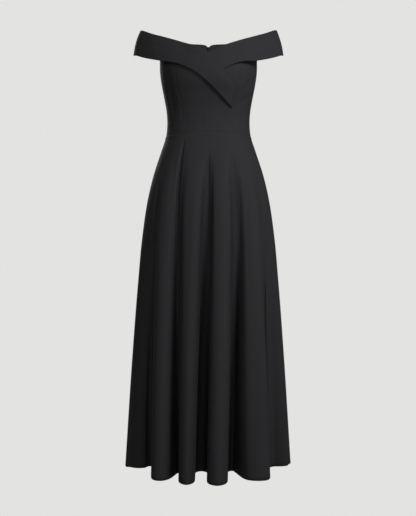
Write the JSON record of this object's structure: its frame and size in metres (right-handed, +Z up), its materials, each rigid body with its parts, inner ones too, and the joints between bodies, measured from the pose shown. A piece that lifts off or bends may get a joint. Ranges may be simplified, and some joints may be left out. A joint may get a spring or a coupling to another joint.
{
  "type": "off-shoulder dress",
  "caption": "Long black off-shoulder dress with a crossed folded band, a princess-seamed bodice and a flared skirt in soft organ-pipe folds.",
  "frame": {"origin": "on the body's axis at the level of the waist seam, where the wearer's waist holds the dress", "axes": "+Z up, the front faces -Y, +X towards the wearer's left"},
  "size_m": [0.499, 0.409, 1.3027],
  "materials": {
    "crepe": "matte black crepe with a soft sheen",
    "zip_tape": "matte black woven tape",
    "zip_metal": "black lacquer"
  },
  "bodies": {
    "dress": {"bodice_centre_front": "crepe", "bodice_side_front_left": "crepe", "bodice_side_front_right": "crepe", "bodice_back_left": "crepe", "bodice_back_right": "crepe", "band_front_left": "crepe", "band_front_right": "crepe", "band_back_left": "crepe", "band_back_right": "crepe", "skirt_front": "crepe", "skirt_back_left": "crepe", "skirt_back_right": "crepe", "zip_tape": "zip_tape", "zip_slider": "zip_metal"},
    "pull_tab": {"zip_pull": "zip_metal"}
  },
  "joints": [
    {"name": "zip_pull_swing", "type": "hinge", "parent": "dress", "child": "pull_tab", "pos_m": [0, 0.104, 0.296], "axis": [1, 0, 0], "range_deg": [0, 150]}
  ]
}
